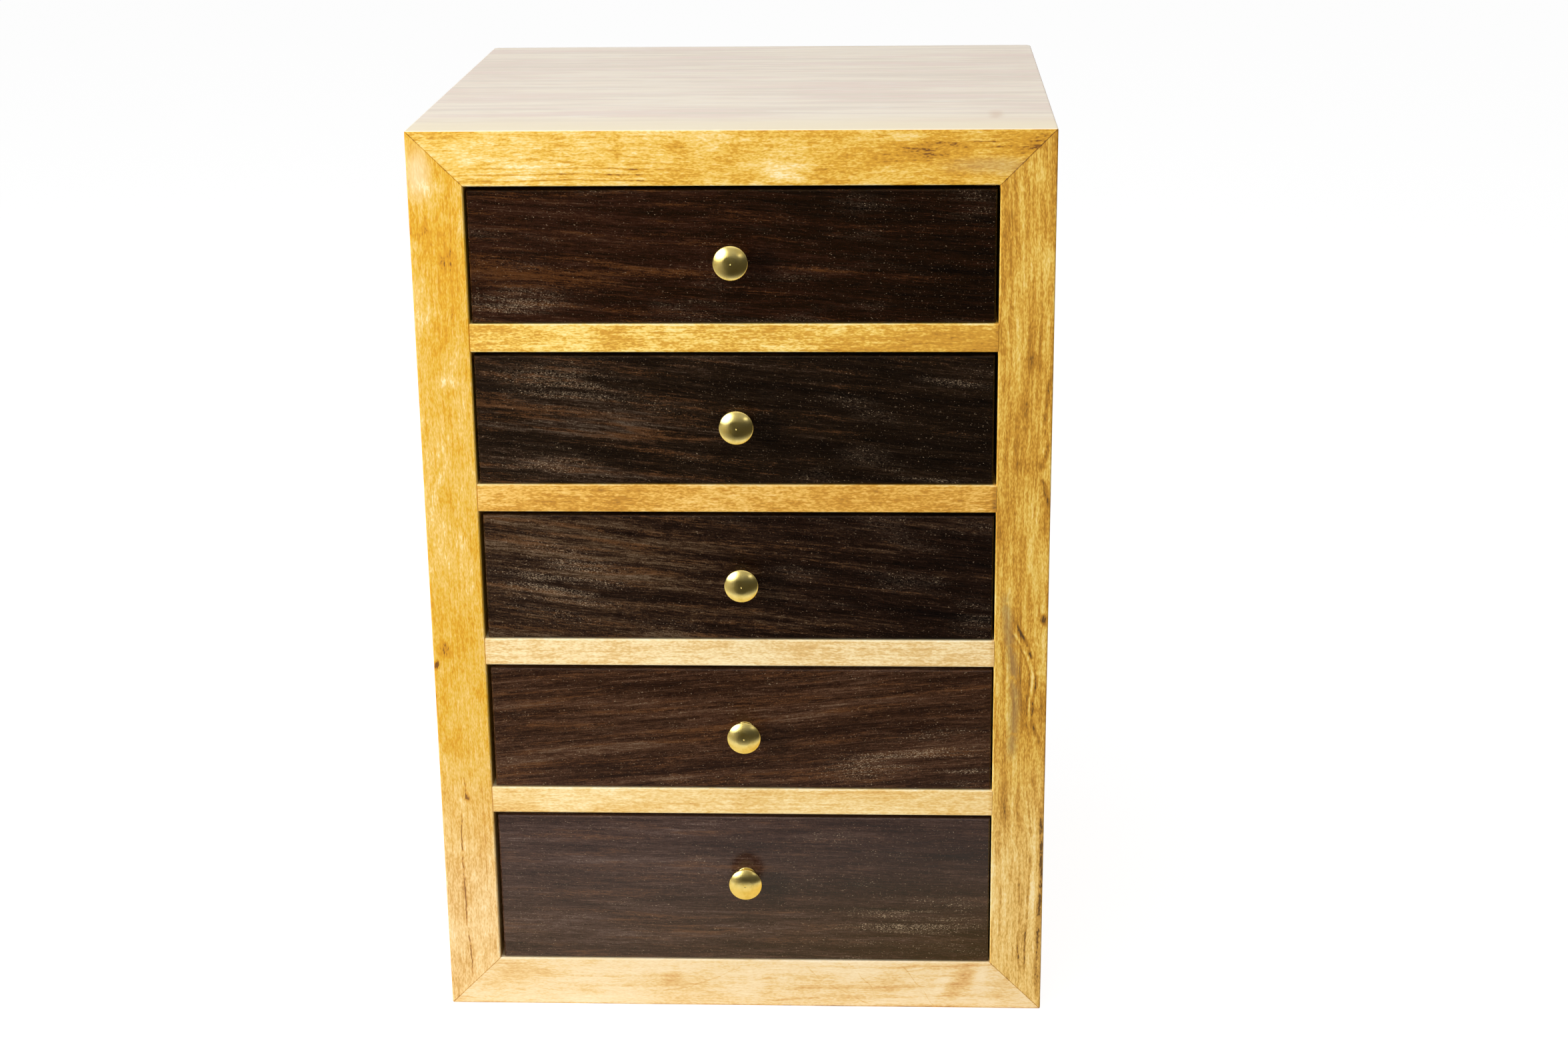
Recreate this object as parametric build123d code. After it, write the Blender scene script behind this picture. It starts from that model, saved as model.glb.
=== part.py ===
from build123d import *
import math
import os

# A small upright case of five drawers for a set of mahjong tiles and sticks.
# Millimetres. The origin is the middle of the case's underside, the drawers
# open towards -Y and +Z is up.

# --- The case: four boards mitred at the corners ---
case_width = 232.0
case_depth = 217.0
side_board_thickness = 20.0
top_board_thickness = 20.0
bottom_board_thickness = 20.0
outer_edge_round = 0.6      # sanded edges all round the outside
rear_corner_round = 2.5     # the two upright edges at the back
arris = 0.4                 # eased edges round each drawer opening

# --- The openings, one above another, with a divider between each two ---
upper_opening_height = 50.5
lower_opening_height = 62.5
upper_drawer_count = 4
divider_thickness = 10.5
dado_depth = 4.0            # how far a divider's ends are let into the sides
dado_stop = 12.0            # plain wood left in front of each dado

# --- Hidden joints of the case ---
glue_clearance = 0.05       # room for glue round every tongue, spline and panel
spline_width = 12.0         # across the mitre
spline_thickness = 3.0
spline_inset = 8.0          # from the mitre's inner corner, level and upright
spline_margin = 12.0        # from the front and from the back of the case

# --- The back panel and its screws ---
back_panel_thickness = 6.0
rabbet_width = 8.0
panel_clearance = 0.25
panel_screw_radius = 1.5
panel_screw_head_radius = 3.0
panel_screw_length = 16.0
panel_screw_slot_width = 0.8
panel_screw_slot_depth = 0.7
panel_screw_spacing = 96.0  # between the two screws in the top, and in the bottom
screw_clearance = 0.05      # round a shank, and round a head in its seat
pilot_spare = 0.5           # hole left beyond the end of each screw

# --- How a drawer sits in its opening ---
side_gap = 1.1              # each side, when the drawer is centred
top_gap = 1.6
front_lift = 0.3            # under the drawer front only: the sides run on the wood
front_recess = 0.5          # the fronts lie this far behind the case's front
# Each drawer rests a little off centre, as a share of its side gap; top drawer first.
drawer_lean = (0.0, -0.1, 0.35, 0.45, 0.45)

# --- The drawer boxes ---
drawer_front_thickness = 14.0
front_lip = 6.0             # what the rabbet for a side leaves of the front
drawer_side_thickness = 8.0
drawer_back_thickness = 8.0
drawer_side_drop = 1.0      # the sides' and the back's top edges below the front's
drawer_edge_round = 0.8     # along those top edges
corner_rabbet = 4.0         # at the rear of each side, for the ends of the back
drawer_bottom_thickness = 4.0
drawer_bottom_rise = 5.0    # from the runner edge up to the bottom panel
groove_depth = 4.0
front_arris = 0.5

# --- The knobs: turned brass, one on each drawer ---
knob_cap_radius = 6.35
knob_rim_height = 0.5       # the straight rim between the cap's two faces
knob_dome_height = 1.7
knob_neck_radius = 3.0
knob_neck_height = 4.6      # from the drawer front to the narrowest place
knob_cap_height = 7.2       # from the drawer front to the rim's rear edge
knob_flange_radius = 3.9
knob_flange_height = 0.9
knob_drop = 25.0            # from the drawer front's top edge down to the knob's axis
# Each knob's distance to the right of its drawer front's middle; top drawer first.
knob_offsets = (-0.1, 1.1, 1.5, 1.4, 1.0)

# --- The screw that holds each knob, from inside the drawer ---
knob_screw_radius = 2.0
knob_screw_reach = 5.0      # thread inside the knob
knob_screw_head_radius = 4.0
knob_screw_head_height = 2.2
knob_screw_slot_width = 1.0
knob_screw_slot_depth = 1.1
counterbore_radius = 4.8
counterbore_depth = 3.0
knob_hole_clearance = 0.25  # round the shank, through the drawer front

# --- Places that follow from the sizes above ---
drawer_count = upper_drawer_count + 1
inner_width = case_width - 2 * side_board_thickness
case_height = (
    bottom_board_thickness
    + lower_opening_height
    + upper_drawer_count * (divider_thickness + upper_opening_height)
    + top_board_thickness
)
front_y = -case_depth / 2
rear_y = case_depth / 2
panel_y = rear_y - back_panel_thickness     # the back panel's inner face
inner_top = case_height - top_board_thickness
drawer_width = inner_width - 2 * side_gap
drawer_inner_width = drawer_width - 2 * drawer_side_thickness
drawer_front_y = front_y + front_recess
drawer_inside_y = drawer_front_y + drawer_front_thickness
drawer_back_y = panel_y - drawer_back_thickness


def block(x, y, z):
    """A box from its two ends along each axis."""
    size = Box(x[1] - x[0], y[1] - y[0], z[1] - z[0])
    return Pos(sum(x) / 2, sum(y) / 2, sum(z) / 2) * size


def turned(outline):
    """A solid turned about an axis along Y, from (radius, y) points."""
    return revolve(make_face(Polyline(*outline, close=True)), Axis.Y)


def opening_floor(drawer):
    """Height of the wood that a drawer runs on; drawer 1 is at the top."""
    below = drawer_count - drawer
    if below == 0:
        return bottom_board_thickness
    pitch = divider_thickness + upper_opening_height
    first = bottom_board_thickness + lower_opening_height + divider_thickness
    return first + (below - 1) * pitch


def opening_height(drawer):
    return lower_opening_height if drawer == drawer_count else upper_opening_height


# ---------------------------------------------------------------- the case

def outer_block():
    """The whole outside of the case, rounded before it is divided into boards."""
    whole = block((-case_width / 2, case_width / 2), (front_y, rear_y), (0, case_height))
    uprights = whole.edges().filter_by(Axis.Z).group_by(Axis.Y)
    whole = fillet(uprights[-1], rear_corner_round)
    front_uprights = whole.edges().filter_by(Axis.Z).group_by(Axis.Y)[0]
    top_edges = whole.faces().sort_by(Axis.Z)[-1].edges()
    bottom_edges = whole.faces().sort_by(Axis.Z)[0].edges()
    return fillet(front_uprights + top_edges + bottom_edges, outer_edge_round)


def mitred_board(outline, opening_edge, outside):
    """One board: its mitred outline in XZ, with the front edge by the opening eased."""
    face = Plane.XZ * make_face(Polyline(*outline, close=True))
    board = extrude(face, amount=case_depth / 2, both=True)
    edge = board.edges().sort_by_distance(opening_edge)[0]
    return chamfer(edge, arris) & outside


def corner_points(right, top):
    """The outer and the inner end of one corner's mitre, as (x, z)."""
    x = case_width / 2 if right else -case_width / 2
    inner_x = inner_width / 2 if right else -inner_width / 2
    if top:
        return (x, case_height), (inner_x, inner_top)
    return (x, 0.0), (inner_x, bottom_board_thickness)


def spline_key(right, top, spare=0.0):
    """The loose spline across one mitre, or with spare its slot in both boards."""
    outer, inner = corner_points(right, top)
    run, rise = outer[0] - inner[0], outer[1] - inner[1]
    inset = spline_inset / side_board_thickness
    middle = (inner[0] + run * inset, inner[1] + rise * inset)
    tilt = math.degrees(math.atan2(rise, run))
    size = Box(
        spline_thickness + 2 * spare,
        case_depth - 2 * spline_margin + 2 * spare,
        spline_width + 2 * spare,
    )
    return Pos(middle[0], 0, middle[1]) * Rot(0, -tilt, 0) * size


def back_panel_block(spare=0.0):
    """The back panel, or with spare the rabbet that it lies in."""
    reach = rabbet_width - panel_clearance + spare
    return block(
        (-inner_width / 2 - reach, inner_width / 2 + reach),
        (panel_y, rear_y),
        (bottom_board_thickness - reach, inner_top + reach),
    )


def divider_height(number):
    """Height of a divider's underside; divider 1 lies under drawer 1."""
    return opening_floor(number) - divider_thickness


def divider(number, spare=0.0):
    """A divider whose ends are let into the side boards, short of the front."""
    low = divider_height(number)
    reach = inner_width / 2 + dado_depth
    ends = reach - glue_clearance + spare
    tongue = block(
        (-ends, ends),
        (front_y + dado_stop + glue_clearance - spare, panel_y),
        (low - spare, low + divider_thickness + spare),
    )
    if spare:
        return tongue
    face = block(
        (-inner_width / 2, inner_width / 2),
        (front_y, panel_y),
        (low, low + divider_thickness),
    )
    front_edges = face.edges().filter_by(Axis.X).group_by(Axis.Y)[0]
    return chamfer(front_edges, arris) + tongue


def panel_screw_places():
    """(x, z) of every screw of the back panel."""
    side_x = inner_width / 2 + rabbet_width / 2
    places = []
    for drawer in range(1, drawer_count + 1):
        z = opening_floor(drawer) + opening_height(drawer) / 2
        places += [(-side_x, z), (side_x, z)]
    for z in (bottom_board_thickness - rabbet_width / 2, inner_top + rabbet_width / 2):
        places += [(-panel_screw_spacing / 2, z), (panel_screw_spacing / 2, z)]
    return places


def panel_screw(spare=0.0, slotted=True):
    """A countersunk screw along -Y with its head flush at y = 0, or its hole."""
    shank = panel_screw_radius + spare
    head = panel_screw_head_radius + spare
    cone = panel_screw_head_radius - panel_screw_radius
    tip = panel_screw_length + (pilot_spare if spare else 0.0)
    screw = turned([(0, 0), (head, 0), (shank, -cone), (shank, -tip), (0, -tip)])
    if not slotted:
        return screw
    slot = Box(2 * head, 2 * panel_screw_slot_depth, panel_screw_slot_width)
    return screw - slot


def all_panel_screws(spare=0.0, slotted=True):
    """The screws of the back panel in their places, as separate solids."""
    screw = panel_screw(spare, slotted)
    return [Pos(x, rear_y, z) * screw for x, z in panel_screw_places()]


def case_nodes():
    """Every piece of the case, by name."""
    outside = outer_block()
    slots = [
        spline_key(right, top, glue_clearance)
        for right in (False, True)
        for top in (False, True)
    ]
    rabbet = back_panel_block(panel_clearance)
    dados = [divider(n, glue_clearance) for n in range(1, drawer_count)]
    holes = all_panel_screws(screw_clearance, slotted=False)
    middle_z = (bottom_board_thickness + inner_top) / 2

    left_top, left_inner_top = corner_points(False, True)
    right_top, right_inner_top = corner_points(True, True)
    left_low, left_inner_low = corner_points(False, False)
    right_low, right_inner_low = corner_points(True, False)
    boards = {
        "top_board": (
            [left_top, right_top, right_inner_top, left_inner_top],
            (0, front_y, inner_top),
        ),
        "bottom_board": (
            [left_low, right_low, right_inner_low, left_inner_low],
            (0, front_y, bottom_board_thickness),
        ),
        "left_side_board": (
            [left_low, left_top, left_inner_top, left_inner_low],
            (-inner_width / 2, front_y, middle_z),
        ),
        "right_side_board": (
            [right_low, right_top, right_inner_top, right_inner_low],
            (inner_width / 2, front_y, middle_z),
        ),
    }
    nodes = {}
    for name, (outline, opening_edge) in boards.items():
        board = mitred_board(outline, opening_edge, outside)
        cuts = slots + [rabbet] + holes
        if name.endswith("side_board"):
            cuts += dados
        nodes[name] = board - cuts
    for number in range(1, drawer_count):
        nodes[f"divider_{number}"] = divider(number)
    nodes["back_panel"] = back_panel_block() - holes
    nodes["back_panel_screws"] = Compound(all_panel_screws())
    for right, side in ((False, "left"), (True, "right")):
        for top, level in ((False, "bottom"), (True, "top")):
            nodes[f"mitre_spline_{level}_{side}"] = spline_key(right, top)
    return nodes


# ------------------------------------------------------------- the drawers

def drawer_middle(drawer):
    return drawer_lean[drawer - 1] * side_gap


def knob_axis(drawer):
    """(x, z) of a knob's axis."""
    top = opening_floor(drawer) + opening_height(drawer) - top_gap
    return drawer_middle(drawer) + knob_offsets[drawer - 1], top - knob_drop


def knob():
    """A turned knob that stands out from y = 0 towards -Y, with its threaded hole."""
    flange_edge = (knob_flange_radius, -knob_flange_height)
    neck = (knob_neck_radius, -knob_neck_height)
    rim_back = (knob_cap_radius, -knob_cap_height)
    rim_front = (knob_cap_radius, -knob_cap_height - knob_rim_height)
    crown = (0, rim_front[1] - knob_dome_height)
    sphere = (knob_cap_radius**2 + knob_dome_height**2) / (2 * knob_dome_height)
    outline = [
        Line((0, 0), (knob_flange_radius, 0)),
        Line((knob_flange_radius, 0), flange_edge),
        TangentArc(neck, flange_edge, tangent=(0, -1), tangent_from_first=False),
        TangentArc(neck, rim_back, tangent=(0, -1)),
        Line(rim_back, rim_front),
        RadiusArc(rim_front, crown, sphere),
        Line(crown, (0, 0)),
    ]
    body = revolve(make_face(outline), Axis.Y)
    hole_radius = knob_screw_radius + screw_clearance
    hole_depth = knob_screw_reach + pilot_spare
    hole = turned([(0, 0), (hole_radius, 0), (hole_radius, -hole_depth), (0, -hole_depth)])
    return body - hole


def knob_screw():
    """The knob's screw, measured from the drawer front's face at y = 0."""
    seat = drawer_front_thickness - counterbore_depth
    head_top = seat + knob_screw_head_height
    outline = [
        (0, -knob_screw_reach),
        (knob_screw_radius, -knob_screw_reach),
        (knob_screw_radius, seat),
        (knob_screw_head_radius, seat),
        (knob_screw_head_radius, head_top),
        (0, head_top),
    ]
    slot = Box(2 * knob_screw_head_radius, 2 * knob_screw_slot_depth, knob_screw_slot_width)
    return turned(outline) - Pos(0, head_top, 0) * slot


def knob_screw_hole():
    """The stepped hole through a drawer front for the knob's screw."""
    shank = knob_screw_radius + knob_hole_clearance
    seat = drawer_front_thickness - counterbore_depth
    return turned([
        (0, 0),
        (shank, 0),
        (shank, seat),
        (counterbore_radius, seat),
        (counterbore_radius, drawer_front_thickness),
        (0, drawer_front_thickness),
    ])


def drawer_bottom(drawer, spare=0.0):
    """A drawer's bottom panel, or with spare the groove that holds its edges."""
    middle = drawer_middle(drawer)
    reach = groove_depth - glue_clearance + spare
    half = drawer_inner_width / 2 + reach
    low = opening_floor(drawer) + drawer_bottom_rise
    return block(
        (middle - half, middle + half),
        (drawer_inside_y - reach, drawer_back_y + reach),
        (low - spare, low + drawer_bottom_thickness + spare),
    )


def drawer_front(drawer, groove):
    """The show front: rabbeted at both ends, grooved and bored for the knob."""
    middle = drawer_middle(drawer)
    floor = opening_floor(drawer)
    ends = (middle - drawer_width / 2, middle + drawer_width / 2)
    height = (floor + front_lift, floor + opening_height(drawer) - top_gap)
    front = block(ends, (drawer_front_y, drawer_inside_y), height)
    front = chamfer(front.faces().sort_by(Axis.Y)[0].edges(), front_arris)
    shoulder = (drawer_front_y + front_lip, drawer_inside_y)
    inner = drawer_inner_width / 2
    left_rabbet = block((ends[0], middle - inner), shoulder, height)
    right_rabbet = block((middle + inner, ends[1]), shoulder, height)
    knob_x, knob_z = knob_axis(drawer)
    hole = Pos(knob_x, drawer_front_y, knob_z) * knob_screw_hole()
    return front - [left_rabbet, right_rabbet, groove, hole]


def drawer_side(drawer, groove, right):
    """One side of a drawer box, from the front's shoulder to the back panel."""
    middle = drawer_middle(drawer)
    floor = opening_floor(drawer)
    top = floor + opening_height(drawer) - top_gap - drawer_side_drop
    outer = drawer_width / 2
    inner = drawer_inner_width / 2
    x = (middle + inner, middle + outer) if right else (middle - outer, middle - inner)
    side = block(x, (drawer_front_y + front_lip, panel_y), (floor, top))
    side = fillet(side.edges().filter_by(Axis.Y).group_by(Axis.Z)[-1], drawer_edge_round)
    reach = inner + corner_rabbet
    rabbet = block((middle - reach, middle + reach), (drawer_back_y, panel_y), (floor, top))
    return side - [groove, rabbet]


def drawer_back(drawer, groove):
    """The rear wall of a drawer box, its ends in the rabbets of the two sides."""
    middle = drawer_middle(drawer)
    floor = opening_floor(drawer)
    top = floor + opening_height(drawer) - top_gap - drawer_side_drop
    reach = drawer_inner_width / 2 + corner_rabbet - glue_clearance
    back = block((middle - reach, middle + reach), (drawer_back_y, panel_y), (floor, top))
    back = fillet(back.edges().filter_by(Axis.X).group_by(Axis.Z)[-1], drawer_edge_round)
    return back - groove


def drawer_nodes(drawer):
    """Every piece of one drawer, by name."""
    groove = drawer_bottom(drawer, glue_clearance)
    knob_x, knob_z = knob_axis(drawer)
    place = Pos(knob_x, drawer_front_y, knob_z)
    return {
        f"drawer_{drawer}_front": drawer_front(drawer, groove),
        f"drawer_{drawer}_left_side": drawer_side(drawer, groove, False),
        f"drawer_{drawer}_right_side": drawer_side(drawer, groove, True),
        f"drawer_{drawer}_back": drawer_back(drawer, groove),
        f"drawer_{drawer}_bottom": drawer_bottom(drawer),
        f"drawer_{drawer}_knob": place * knob(),
        f"drawer_{drawer}_knob_screw": place * knob_screw(),
    }


# ------------------------------------------------------------ all the files

os.makedirs("parts", exist_ok=True)
nodes = case_nodes()
for drawer_number in range(1, drawer_count + 1):
    nodes.update(drawer_nodes(drawer_number))
for node_name, solid in nodes.items():
    export_step(solid, f"parts/{node_name}.step")
print(f"{len(nodes)} nodes; the case is {case_width} x {case_depth} x {case_height} mm")
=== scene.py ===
# %% [markdown]
# # A small mitred case with five drawers
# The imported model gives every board, drawer and screw at its exact place and
# size. This lesson gives them their woods, turns the brass knobs, and sets up
# a plain photographer's table round them. Everything is in metres, in the
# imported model's own frame: the case stands on z = 0 and its drawers face -Y.

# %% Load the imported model
import math

import bpy
from mathutils import Matrix, Vector


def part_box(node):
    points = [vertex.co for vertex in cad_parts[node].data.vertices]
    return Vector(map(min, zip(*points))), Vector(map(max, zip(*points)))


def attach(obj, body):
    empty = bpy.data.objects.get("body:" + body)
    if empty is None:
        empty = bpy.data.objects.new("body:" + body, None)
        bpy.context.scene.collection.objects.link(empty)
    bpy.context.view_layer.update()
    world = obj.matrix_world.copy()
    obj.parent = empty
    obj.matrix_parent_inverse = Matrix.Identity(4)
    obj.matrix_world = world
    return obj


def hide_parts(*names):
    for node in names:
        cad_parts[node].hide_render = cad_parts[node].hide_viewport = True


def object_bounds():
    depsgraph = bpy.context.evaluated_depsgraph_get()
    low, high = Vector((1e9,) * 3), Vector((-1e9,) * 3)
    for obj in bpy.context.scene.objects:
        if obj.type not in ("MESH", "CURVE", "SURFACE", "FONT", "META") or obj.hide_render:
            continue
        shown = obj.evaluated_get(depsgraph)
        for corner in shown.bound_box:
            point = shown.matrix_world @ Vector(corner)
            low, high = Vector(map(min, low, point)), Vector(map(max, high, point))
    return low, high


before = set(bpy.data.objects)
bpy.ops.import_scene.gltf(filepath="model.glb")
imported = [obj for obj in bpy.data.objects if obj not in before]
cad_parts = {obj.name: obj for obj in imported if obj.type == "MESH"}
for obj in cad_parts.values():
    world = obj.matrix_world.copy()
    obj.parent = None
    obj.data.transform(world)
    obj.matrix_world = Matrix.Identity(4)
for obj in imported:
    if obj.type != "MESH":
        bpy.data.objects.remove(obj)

cad_low, cad_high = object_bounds()
MM = 0.001
size = [round((high - low) / MM, 1) for low, high in zip(cad_low, cad_high)]
print("packed nodes:", len(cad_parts), " size in mm:", size)

# %% [markdown]
# The photographer stood a metre in front of the case, a little to its right,
# and looked slightly down on it with a 60 mm lens. A camera object could be
# aimed with a constraint, but here the three turns are known, so the matrix
# is written straight out: first the roll, then the tilt, then the turn.

# %% Camera
scene = bpy.context.scene
camera = bpy.data.objects.new("camera", bpy.data.cameras.new("camera"))
scene.collection.objects.link(camera)
LENS, SENSOR = 59.944, 36.0
CAMERA_PLACE = (0.06125, -1.02722, 0.49969)
LOOK_DOWN, LOOK_LEFT, ROLL = 18.018, 2.714, -0.685
camera.data.lens = LENS
camera.data.sensor_width = SENSOR
camera.matrix_world = (
    Matrix.Translation(CAMERA_PLACE)
    @ Matrix.Rotation(math.radians(LOOK_LEFT), 4, "Z")
    @ Matrix.Rotation(math.radians(90 - LOOK_DOWN), 4, "X")
    @ Matrix.Rotation(math.radians(ROLL), 4, "Z")
)
scene.camera = camera
scene.view_settings.view_transform = "Standard"
print("camera at", [round(x, 3) for x in camera.location])

# %% [markdown]
# Two small helpers serve every material. Colours are picked as sRGB hex
# codes, as in a paint program, but shaders want linear light, so one function
# converts them. The other adds a node, sets what it is told and links the
# rest, which keeps a material readable as a list of steps. Sockets that share
# a name are given by number: a Map Range takes its value at 0, the range it
# comes from at 1 and 2, and the range it goes to at 3 and 4, while a colour
# Mix takes its amount at 0 and its two colours at 6 and 7.

# %% Helpers for colours and nodes
def rgb(code):
    """An sRGB hex colour as linear red, green, blue and alpha."""
    parts = [int(code[i : i + 2], 16) / 255 for i in (1, 3, 5)]
    return [c / 12.92 if c <= 0.04045 else ((c + 0.055) / 1.055) ** 2.4 for c in parts] + [1]


def node(tree, kind, inputs=None, stops=(), **settings):
    """A new node. A node or socket among the inputs is linked, and any other value is set."""
    made = tree.nodes.new("ShaderNode" + kind)
    for name, value in settings.items():
        setattr(made, name, value)
    for name, value in (inputs or {}).items():
        if isinstance(value, bpy.types.Node):
            value = value.outputs[0]
        if isinstance(value, bpy.types.NodeSocket):
            tree.links.new(value, made.inputs[name])
        else:
            made.inputs[name].default_value = value
    for i, (place, colour) in enumerate(stops):
        ramp = made.color_ramp.elements
        if i >= len(ramp):
            ramp.new(1)
        ramp[i].position = place
        ramp[i].color = rgb(colour) if isinstance(colour, str) else [colour] * 3 + [1]
    return made


def new_material(name):
    """A material, its node tree and its shader."""
    material = bpy.data.materials.new(name)
    material.use_nodes = True
    return material, material.node_tree, material.node_tree.nodes["Principled BSDF"]


print("white is", rgb("#ffffff"))

# %% [markdown]
# The case stands on a sheet of white paper in front of a white wall. The
# paper is a real surface with a soft shadow, but a photo of white on white is
# exposed until the paper is gone. So camera rays see mostly a plain white
# with a quarter of the shadow left in it. The brass and the oiled fronts need
# more than white to mirror. For their gloss only, the paper ends a hand's
# length in front of the case, and is warmed close by from the golden wood,
# most on the side away from the window. Past it lies a dim table, brighter on
# the window's side.

# %% The paper on the table
def add_stage(name, material):
    """The active object becomes part of the stage."""
    made = bpy.context.object
    made.name = name
    made.data.materials.append(material)
    return made


TABLE_SIZE = 16
PAPER_END, EDGE_BLUR, TABLE_FADE = -0.27, 0.012, 0.1
WARM_FAR, WARM_NEAR = -0.26, -0.17
paper, tree, shader = new_material("white_paper")
tree.nodes.remove(shader)
ray = node(tree, "LightPath")
place = node(tree, "SeparateXYZ", {0: node(tree, "TexCoord").outputs["Object"]})
along, across = place.outputs["Y"], place.outputs["X"]
near = node(tree, "MapRange", {0: along, 1: PAPER_END - EDGE_BLUR, 2: PAPER_END + EDGE_BLUR})
aside = node(tree, "Math", {0: across, 1: along}, operation="DIVIDE")
aside = node(tree, "MapRange", {0: aside, 1: 0.15, 2: 0.9})
far_floor = node(tree, "Mix", {0: aside, 6: rgb("#4a463d"), 7: rgb("#bdb7a9")}, data_type="RGBA")
fading = node(tree, "MapRange", {0: along, 1: PAPER_END - TABLE_FADE, 2: PAPER_END, 4: 0.36})
fading = node(tree, "Mix", {0: fading, 6: far_floor.outputs[2], 7: rgb("#ffffff")}, data_type="RGBA")
to_right = node(tree, "MapRange", {0: across, 1: -0.06, 2: 0.1})
warm = node(tree, "Mix", {0: to_right, 6: rgb("#fff3cf"), 7: rgb("#fbda80")}, data_type="RGBA")
close = node(tree, "MapRange", {0: along, 1: WARM_FAR, 2: WARM_NEAR})
lit = node(tree, "Mix", {0: close, 6: rgb("#ffffff"), 7: warm.outputs[2]}, data_type="RGBA")
mirrored = node(tree, "Mix", {0: near, 6: fading.outputs[2], 7: lit.outputs[2]}, data_type="RGBA")
bounce = node(tree, "BsdfDiffuse", {"Color": rgb("#f0efec")})
shadowed = node(tree, "BsdfDiffuse", {"Color": rgb("#8f8f8f")})
plain_white = node(tree, "Emission", {"Color": rgb("#ffffff"), "Strength": 0.9})
seen = node(tree, "AddShader", {0: shadowed, 1: plain_white})
gleam = node(tree, "Emission", {"Color": mirrored.outputs[2], "Strength": 1.0})
table = node(tree, "MixShader", {0: ray.outputs["Is Glossy Ray"], 1: bounce, 2: gleam})
table = node(tree, "MixShader", {0: ray.outputs["Is Camera Ray"], 1: table, 2: seen})
tree.links.new(table.outputs[0], tree.nodes["Material Output"].inputs["Surface"])
bpy.ops.object.select_all(action="DESELECT")
bpy.ops.mesh.primitive_plane_add(size=TABLE_SIZE, location=(0, 0, 0))
floor = add_stage("floor", paper)
print("table:", [round(side, 1) for side in floor.dimensions[:2]], "m, paper to y =", PAPER_END)

# %% [markdown]
# Behind the camera is a dark room, as a half cylinder that only gloss can
# see. Its wall glows a little more with height and carries two soft bright
# cards: the large window on the left and a small lamp high on the right.

# %% The room behind the camera
ROOM_RADIUS, ROOM_HEIGHT, ROOM_END = 2.4, 2.4, 0.2
CARDS = {  # its middle, its reach along each axis, and its strength
    "window": ((-1.55, -1.8, 1.25), (1.2, 1.4, 1.2), 8.0),
    "small lamp": ((1.2, -2.1, 0.95), (0.42, 0.5, 0.26), 1.5),
}
dark_room, tree, shader = new_material("dark_room")
tree.nodes.remove(shader)
place = node(tree, "TexCoord").outputs["Object"]
height = node(tree, "SeparateXYZ", {0: place}).outputs["Z"]
level_glow = node(tree, "MapRange", {0: height, 1: 0.4, 2: 1.5, 3: 0.07, 4: 0.46})
for middle, reach, strength in CARDS.values():
    away = node(tree, "VectorMath", {0: place, 1: middle}, operation="SUBTRACT")
    away = node(tree, "VectorMath", {0: away, 1: reach}, operation="DIVIDE")
    far = node(tree, "VectorMath", {0: away}, operation="LENGTH")
    faded = {0: far.outputs["Value"], 1: 1.0, 2: 0.35, 4: strength}
    card = node(tree, "MapRange", faded, interpolation_type="SMOOTHSTEP")
    level_glow = node(tree, "Math", {0: card, 1: level_glow}, operation="ADD")
glow = node(tree, "Emission", {"Color": rgb("#fffdf8"), "Strength": level_glow})
tree.links.new(glow.outputs[0], tree.nodes["Material Output"].inputs["Surface"])
bpy.ops.object.select_all(action="DESELECT")
bpy.ops.mesh.primitive_cylinder_add(
    vertices=48,
    radius=ROOM_RADIUS,
    depth=ROOM_HEIGHT,
    end_fill_type="NOTHING",
    location=(0, 0, ROOM_HEIGHT / 2),
)
bpy.ops.object.transform_apply(location=True, rotation=False, scale=False)
room = add_stage("room_behind_the_camera", dark_room)
bpy.ops.object.mode_set(mode="EDIT")
bpy.ops.mesh.select_all(action="SELECT")
bpy.ops.mesh.bisect(plane_co=(0, ROOM_END, 0), plane_no=(0, 1, 0), clear_outer=True)
bpy.ops.object.mode_set(mode="OBJECT")
room.visible_camera = room.visible_diffuse = room.visible_shadow = False
print("room wall faces:", len(room.data.polygons), " cards:", ", ".join(CARDS))

# %% [markdown]
# The light is a small bright window low on the far left, which throws the
# knobs' shadows to the right, a large soft one nearer the front that fills
# them, and one above for the top board. The gloss does not see these lamps:
# it has the room's cards instead. The sky is white for what the camera and
# the gloss see, and dimmer as light on the object, so that colours come out
# as written.

# %% Light
LIT_PLACE = Vector((0, -0.1, 0.18))    # the middle of the drawer fronts


def add_window(name, azimuth, elevation, distance, width, height, power):
    """A soft white light, turned to the case from a bearing left (-) or right of its front."""
    made = bpy.data.objects.new(name, bpy.data.lights.new(name, "AREA"))
    scene.collection.objects.link(made)
    made.data.shape = "RECTANGLE"
    made.data.size, made.data.size_y = width, height
    made.data.energy = power
    a, e = math.radians(azimuth), math.radians(elevation)
    out = Vector((math.sin(a) * math.cos(e), -math.cos(a) * math.cos(e), math.sin(e)))
    made.location = LIT_PLACE + out * distance
    made.rotation_euler = out.to_track_quat("Z", "Y").to_euler()
    made.visible_camera = made.visible_glossy = False


add_window("window_left", -34, 27, 1.5, 1.5, 1.0, 2.4)
add_window("window_left_bright", -56, 13, 1.7, 0.36, 0.4, 22.4)
add_window("window_above", -15, 74, 1.3, 1.0, 0.8, 7.0)

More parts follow.
